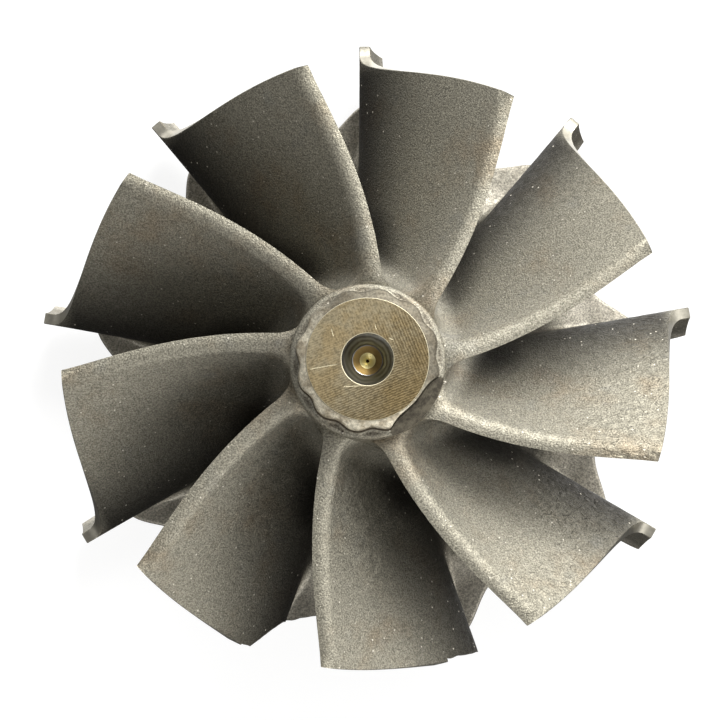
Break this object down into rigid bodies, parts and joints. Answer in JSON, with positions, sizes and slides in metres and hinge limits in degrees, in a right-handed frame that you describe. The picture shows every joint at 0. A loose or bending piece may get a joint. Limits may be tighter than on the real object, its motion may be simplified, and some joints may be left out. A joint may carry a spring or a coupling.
{
  "type": "radial turbine wheel",
  "caption": "Cast radial turbine wheel of a turbocharger: scalloped back disc, curved blades, hub and a 12-point nose with a centre drill hole",
  "frame": {"origin": "middle of the flat boss on the back of the wheel, where it rests", "axes": "+Z is the wheel's axis, from the back boss to the nose; +X and +Y are the picture's right and up"},
  "size_m": [0.0735, 0.0703, 0.037],
  "materials": {
    "cast_nickel_alloy": "matte"
  },
  "bodies": {
    "root": {"wheel_casting": "cast_nickel_alloy"}
  },
  "joints": []
}
